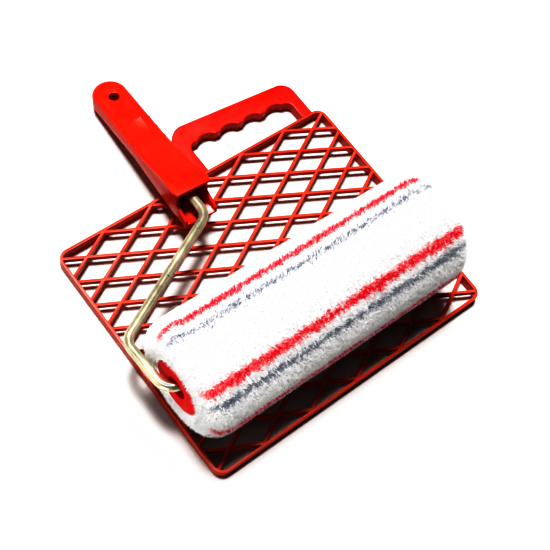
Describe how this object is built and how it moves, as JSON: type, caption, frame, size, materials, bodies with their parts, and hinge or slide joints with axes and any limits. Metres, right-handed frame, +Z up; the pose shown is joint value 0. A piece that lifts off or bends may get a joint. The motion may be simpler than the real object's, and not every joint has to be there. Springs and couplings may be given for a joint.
{
  "type": "paint roller grid set",
  "caption": "Flat scraper grid with a moulded finger grip, and a long-pile paint roller on a bent wire frame lying on it.",
  "frame": {"origin": "bottom centre of the whole set's box, on the surface that it lies on", "axes": "+X along the roller's axle, away from the wire's bend; +Y towards the grid's grip and the roller's handle; +Z up"},
  "size_m": [0.2832, 0.3334, 0.1051],
  "materials": {
    "grid_plastic": "moulded, satin gloss",
    "handle_plastic": "moulded, glossy",
    "cap_plastic": "moulded, satin",
    "wire_steel": "zinc plated",
    "collar_steel": "zinc plated",
    "bush_plastic": "moulded, natural white",
    "core_plastic": "extruded, matte",
    "fleece": "long pile with red and grey stripes",
    "knit_ground": "knitted"
  },
  "bodies": {
    "grid": {"roller_grid": "grid_plastic", "grid_handle": "grid_plastic"},
    "frame": {"wire_frame": "wire_steel", "handle_shell": "handle_plastic", "near_bush_collar": "collar_steel", "far_bush_collar": "collar_steel", "end_retainer": "collar_steel"},
    "bushes": {"near_bush": "bush_plastic", "far_bush": "bush_plastic"},
    "cover": {"core_tube": "core_plastic", "near_cap": "cap_plastic", "far_cap": "cap_plastic", "fleece_backing": "knit_ground", "fleece_pile": "fleece"}
  },
  "joints": [
    {"name": "roller_lift", "type": "slide", "parent": "grid", "child": "frame", "axis": [0, 0, 1], "range_m": [0, 0.12]},
    {"name": "cover_spin", "type": "hinge", "parent": "frame", "child": "bushes", "pos_m": [0.00555, -0.10417, 0.0577], "axis": [1, 0, 0], "continuous": true},
    {"name": "cover_pull_off", "type": "slide", "parent": "bushes", "child": "cover", "axis": [1, 0, 0], "range_m": [0, 0.257]}
  ]
}
